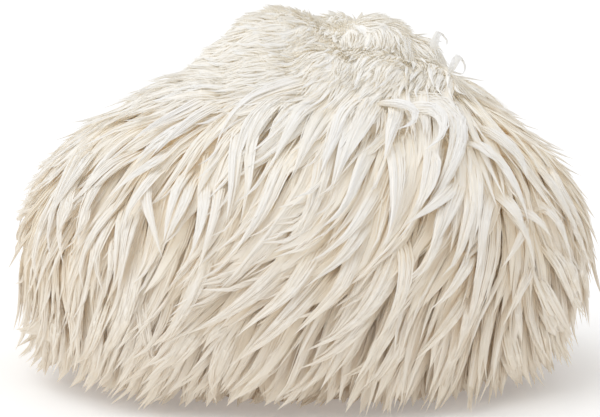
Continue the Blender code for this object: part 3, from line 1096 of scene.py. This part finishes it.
def grow_crown(kind, draw):
    """Roots of the crown's fur or peaks, and the middle lines that grow from them."""
    roots = spaced_roots(kind, CROWN_FROM - CROWN_FADE, 1)
    count = len(roots)
    lengths = by_table(CROWN_LENGTHS, roots[:, 2], 1) * draw.uniform(*kind["length"], count)
    proud = coat_depth(roots) * draw.uniform(*kind["proud"], count)
    curl = draw.normal(0, kind["curl"], count)
    start_out = draw.uniform(*kind["start_out"], count)
    lift = draw.uniform(*kind["lift"], count)
    return roots, grow(roots, lengths, np.ones(count), curl, start_out, lift, proud, HAIR_STEPS)


def model_crown():
    """The short dense spines of the crown, drawn together in soft peaks."""
    draw = rng(CROWN_SALT)
    roots, paths = grow_crown(CROWN_FUR, draw)
    count = len(roots)
    peaks = grow_crown(CROWN_PEAKS, draw)
    paths = gather(paths, roots, *peaks, draw.uniform(*PEAK_PULL, count))
    tubes = Tubes()
    Locks(paths, np.full(count, HAIR_HALF_WIDTH), np.ones(count), draw).add_hairs(tubes)
    return tubes.piece("crown_spines")


def model_crown_tufts(tufts):
    """Matted curly tufts among the crown's spines, most of them on its right."""
    draw = rng(CROWN_TUFT_SALT)
    roots = spaced_roots(CROWN_TUFTS, CROWN_FROM, 1)
    share = soft_step(*MATTED, roots[:, 0]) * (1 - FEWEST_TUFTS) + FEWEST_TUFTS
    roots = roots[draw.uniform(size=len(roots)) < share]
    paths, half_width, flatness = grow_coat(roots, CROWN_TUFTS, draw)
    paths = gather(paths, roots, *tufts, draw.uniform(*CROWN_TUFTS["pull"], len(roots)))
    tubes = Tubes()
    Locks(paths, half_width, flatness, draw).add_all(tubes, CROWN_TUFTS)
    return tubes.piece("crown_tufts")


class Value:
    """A number that varies over a surface: arithmetic on it adds Math nodes."""

    def __init__(self, paint, socket):
        self.paint = paint
        self.socket = socket

    def _maths(self, operation, *values):
        return self.paint.node("ShaderNodeMath", {"operation": operation}, *values)

    def __add__(self, other):
        return self._maths("ADD", self, other)

    def __mul__(self, other):
        return self._maths("MULTIPLY", self, other)

    def __sub__(self, other):
        return self._maths("SUBTRACT", self, other)

    def __rsub__(self, other):
        return self._maths("SUBTRACT", other, self)

    def __pow__(self, other):
        return self._maths("POWER", self, other)

    def clamped(self):
        return self.paint.node("ShaderNodeClamp", {}, self)


class Paint:
    """A material's nodes, round its Principled BSDF."""

    def __init__(self, name):
        self.material = bpy.data.materials.new(name)
        self.material.use_nodes = True
        self.tree = self.material.node_tree
        self.shader = self.tree.nodes["Principled BSDF"]

    def node(self, kind, settings, *inputs, output=0, **named):
        """Adds a node: its settings first, then the values or links of its sockets."""
        made = self.tree.nodes.new(kind)
        for setting, value in settings.items():
            setattr(made, setting, value)
        for key, value in [*enumerate(inputs), *named.items()]:
            self.feed(made.inputs[key], value)
        return Value(self, made.outputs[output])

    def feed(self, socket, value):
        if isinstance(value, Value):
            self.tree.links.new(value.socket, socket)
        else:
            socket.default_value = value

    def mark(self, name):
        return self.node("ShaderNodeAttribute", {"attribute_name": name}, output="Fac")

    def here(self):
        return self.node("ShaderNodeTexCoord", {}, output="Object")

    def noise(self, scale, detail=2.0, where=None):
        return self.node("ShaderNodeTexNoise", {}, output="Fac", Vector=where or self.here(),
                         Scale=scale, Detail=detail)

    def bump(self, height, strength, distance):
        return self.node("ShaderNodeBump", {}, output="Normal", Height=height,
                         Strength=strength, Distance=distance)

    def mix(self, share, one, other):
        made = self.tree.nodes.new("ShaderNodeMix")
        made.data_type = "RGBA"
        for name, value in (("Factor_Float", share), ("A_Color", one), ("B_Color", other)):
            self.feed(next(s for s in made.inputs if s.identifier == name), value)
        return Value(self, next(s for s in made.outputs if s.identifier == "Result_Color"))

    def finish(self, **named):
        for name, value in named.items():
            self.feed(self.shader.inputs[name.replace("_", " ")], value)
        return self.material


# The colours, in linear light.
CREAM = (0.985, 0.96, 0.918, 1)
WHITE = (0.985, 0.976, 0.955, 1)
# TAN is painted shade deep in the coat, in the grooves of the fine lines and low down, and also the
# spines' own darker tone.
TAN = (0.985, 0.875, 0.65, 1)
# The colour of the painted shade low down on the spines.
LOW_SHADE_TAN = (0.76, 0.645, 0.49, 1)
# The colour of the fine lines: painted shade in their grooves, and spines darker in their own tone.
LINE_TAN = (0.90, 0.81, 0.67, 1)
CROWN_CREAM = (0.998, 0.98, 0.925, 1)
CROWN_WHITE = (0.998, 0.99, 0.965, 1)
# The flesh's two tans, mottled at random: painted shade deep between the roots.
FLESH_PALE = (0.965, 0.90, 0.77, 1)
FLESH_TAN = (0.93, 0.80, 0.58, 1)
# Painted shade on the flesh at its base, where its underside lies in shadow.
FLESH_BASE_SHADE = (0.42, 0.30, 0.18, 1)
LOW_SHADE_STRENGTH = 1.3  # how dark the painted shade low down gets

# Where colours change by height: the level that a colour starts or ends at, and one over its run.
LOW_FADE = 11.0
HIGH_FROM, HIGH_FADE = 0.055, 22.0
CROWN_FLESH_FROM, CROWN_FLESH_FADE = 0.085, 60.0
BASE_SHADE_FADE = 45.0

# The fine lines along a spine: how many round it, how they change along it and from spine to spine.
LINES_ROUND, LINES_ALONG, LINES_APART = 26.0, 1.6, 60.0
LINE_DEPTH, LINE_BUMP = 0.0004, 0.4
GROOVE_LEVEL = 0.52

# What makes a spine whiter: painted light toward its tip, broad patches of its own tone, and height,
# as painted light on the top and partly its own whiter tone there; less a plain share and painted
# shade low down.
TIP_LIGHT, WHITE_PATCH, TOP_LIGHT_AND_TONE = 0.5, 0.8, 0.7
CREAM_PLAIN, LOW_SHADE_CREAM = 0.1, 0.4
PATCH_SCALE = 22.0

# How deep in the coat a place counts as, for the painted shade there: less by how far out it lies and
# how near the tip it is.
DEPTH_START, DEPTH_COVER, DEPTH_TIP, DEPTH_CURVE = 1.25, 1.1, 0.35, 1.2

# What else makes it tan or lined: its own tone, painted shade in the grooves of its lines, and how
# much less of either height leaves, as painted light on the top.
TONE_TAN = 0.22
LESS_SHADE_HIGH = 0.6
GROOVE_SHADING = 2.5
DARK_TONE_FROM, DARK_TONE = 0.55, 0.7

# What paints shade low down, brownish: lowness, less by how far out it lies, and lowness in the depth.
LOW_START, LOW_COVER, LOW_CURVE, LOW_DEPTH = 1.25, 0.75, 1.5, 0.6
ROUGHNESS, TONE_ROUGHNESS = 0.56, 0.12
SPINE_SHINE = 0.25

# The flesh's mottling.
MOTTLE_SCALE = 260.0
MOTTLE_LEVEL, MOTTLE_CONTRAST = 0.38, 4.0
MOTTLE_DEPTH, MOTTLE_BUMP = 0.0008, 0.6
FLESH_ROUGHNESS = 0.8


def spine_finish(name, cream, white, depth_shade, low_shade, groove_shade, lined):
    """Cream spines, finely lined. Painted shade makes them tan deep in the coat and in the grooves of
    their lines, and darker low down; painted light, with their own whiter tone high up, makes them
    whiter to the tips and crown.
    """
    paint = Paint(name)
    cover, along, shade, around = (paint.mark(mark) for mark in MARKS)
    patches = paint.noise(PATCH_SCALE, 3.0)
    height = paint.node("ShaderNodeSeparateXYZ", {}, paint.here(), output="Z")
    low = (1 - height * LOW_FADE).clamped()
    high = ((height - HIGH_FROM) * HIGH_FADE).clamped()
    # Whiter toward the tip and higher up: painted light, and partly the spines' own whiter tone high
    # up; the patches are their own tone.
    whiter = along * TIP_LIGHT + patches * WHITE_PATCH + high * TOP_LIGHT_AND_TONE
    # Less white low down: painted shade.
    whiter = whiter - CREAM_PLAIN - low * LOW_SHADE_CREAM
    pale = paint.mix(whiter.clamped(), cream, white)
    # Painted shade: tan deep in the coat, near the flesh and the roots.
    depth = (DEPTH_START - cover * DEPTH_COVER - along * DEPTH_TIP).clamped() ** DEPTH_CURVE
    lines_at = paint.node(
        "ShaderNodeCombineXYZ", {}, around * LINES_ROUND, along * LINES_ALONG, shade * LINES_APART)
    lines = paint.noise(1.0, 3.0, lines_at)
    # Painted shade in the grooves of the fine lines, where the bump lies low.
    groove = (GROOVE_LEVEL - lines).clamped()
    # Less painted shade higher up, where the top is lit.
    below = 1 - high * LESS_SHADE_HIGH
    tan = (depth * depth_shade + groove * groove_shade) * below
    tan = tan + low * low_shade + (shade - 0.5) * TONE_TAN
    colour = paint.mix(tan.clamped(), pale, TAN)
    # Darker lines: painted shade in the grooves, and spines darker in their own tone.
    dark_line = groove * GROOVE_SHADING + (shade - DARK_TONE_FROM).clamped() * DARK_TONE
    colour = paint.mix(dark_line.clamped() * below * lined, colour, LINE_TAN)
    # Painted shade low down, brownish, less far out in the coat.
    low_shade_share = low**LOW_CURVE * (LOW_START - cover * LOW_COVER) * LOW_SHADE_STRENGTH + low * depth * LOW_DEPTH
    colour = paint.mix(low_shade_share.clamped(), colour, LOW_SHADE_TAN)
    rough = shade * TONE_ROUGHNESS + ROUGHNESS
    bump = paint.bump(lines, LINE_BUMP, LINE_DEPTH)
    return paint.finish(
        Base_Color=colour, Roughness=rough, Normal=bump, Specular_IOR_Level=SPINE_SHINE)


def flesh_finish():
    """Matt spongy flesh, mottled: tan deep between the roots and brown at the base as painted shade,
    white under the crown.
    """
    paint = Paint("tan_flesh")
    mottle = paint.noise(MOTTLE_SCALE, 5.0)
    height = paint.node("ShaderNodeSeparateXYZ", {}, paint.here(), output="Z")
    crown = ((height - CROWN_FLESH_FROM) * CROWN_FLESH_FADE).clamped()
    pale = ((mottle - MOTTLE_LEVEL) * MOTTLE_CONTRAST).clamped()
    # Tan, mottled at random: painted shade deep between the roots.
    tan = paint.mix(pale, FLESH_TAN, FLESH_PALE)
    colour = paint.mix(crown, tan, WHITE)
    # Painted shade at the base.
    colour = paint.mix((1 - height * BASE_SHADE_FADE).clamped(), colour, FLESH_BASE_SHADE)
    bump = paint.bump(mottle, MOTTLE_BUMP, MOTTLE_DEPTH)
    return paint.finish(Base_Color=colour, Roughness=FLESH_ROUGHNESS, Normal=bump)


FLOOR_SIDE = 8.0
FLOOR_GLOW = 0.15  # keeps the floor as white as a studio's sweep
FLOOR_WHITE = (0.97, 0.97, 0.97, 1)
SKY_STRENGTH = 0.565
GAMMA = 1.3
LAMPS = (
    ("soft_key", 1.14, Vector((-0.82, -0.42, 1.35))),
    ("soft_top", 0.42, Vector((0, 0.05, 1))),
)
LAMP_SOFTNESS = math.radians(60)
DIFFUSE_BOUNCES = 20
ALL_BOUNCES = 24
SENSOR = 36  # millimetres


def pale_floor():
    bpy.ops.mesh.primitive_plane_add(size=FLOOR_SIDE, location=(0, 0, 0))
    floor = bpy.context.object
    floor.name = "floor"
    floor.data.materials.append(Paint("pale_floor").finish(
        Base_Color=FLOOR_WHITE, Roughness=0.9,
        Emission_Color=FLOOR_WHITE, Emission_Strength=FLOOR_GLOW))


def light_the_scene():
    """A white sky all round, a large soft lamp from the upper left and a weak one overhead."""
    world = bpy.data.worlds.new("white_studio")
    world.use_nodes = True
    sky = world.node_tree.nodes["Background"]
    sky.inputs["Color"].default_value = (1, 1, 1, 1)
    sky.inputs["Strength"].default_value = SKY_STRENGTH
    bpy.context.scene.world = world
    for name, strength, toward in LAMPS:
        lamp = bpy.data.lights.new(name, "SUN")
        lamp.energy = strength
        lamp.angle = LAMP_SOFTNESS
        holder = bpy.data.objects.new(name, lamp)
        holder.rotation_euler = (-toward).to_track_quat("-Z", "Y").to_euler()
        bpy.context.scene.collection.objects.link(holder)


def place_camera():
    data = bpy.data.cameras.new("camera")
    data.sensor_width = SENSOR
    data.lens = SENSOR * CAMERA_AWAY / VIEW_WIDTH
    data.clip_start = 0.05
    camera = bpy.data.objects.new("camera", data)
    camera.location = AIM + LOOK_BACK * CAMERA_AWAY
    camera.rotation_euler = (math.pi / 2 - CAMERA_TILT, 0, 0)
    bpy.context.scene.collection.objects.link(camera)
    bpy.context.scene.camera = camera


def main():
    bpy.ops.object.select_all(action="DESELECT")
    body = model_flesh()
    tufts = grow_tufts()
    spines = [*model_coat(tufts), model_front_locks(), model_crown()]
    spines.append(model_crown_tufts(tufts))
    body.data.materials.append(flesh_finish())
    finish = spine_finish(
        "cream_spines", CREAM, WHITE, depth_shade=1.0, low_shade=0.45, groove_shade=0.9, lined=0.6)
    # The crown's spines take painted shade in the creases between its lobes and deep in its tufts.
    crown_finish = spine_finish(
        "white_crown_spines", CROWN_CREAM, CROWN_WHITE,
        depth_shade=0.6, low_shade=0.0, groove_shade=0.3, lined=0.10)
    for piece in (body, *spines):
        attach(piece, "root")
    for piece in spines:
        piece.data.materials.append(crown_finish if piece.name.startswith("crown") else finish)
    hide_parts("fruiting_body")
    pale_floor()
    light_the_scene()
    place_camera()
    bpy.context.scene.view_settings.view_transform = "Standard"
    bpy.context.scene.view_settings.gamma = GAMMA
    bpy.context.scene.cycles.diffuse_bounces = DIFFUSE_BOUNCES
    bpy.context.scene.cycles.max_bounces = ALL_BOUNCES


main()
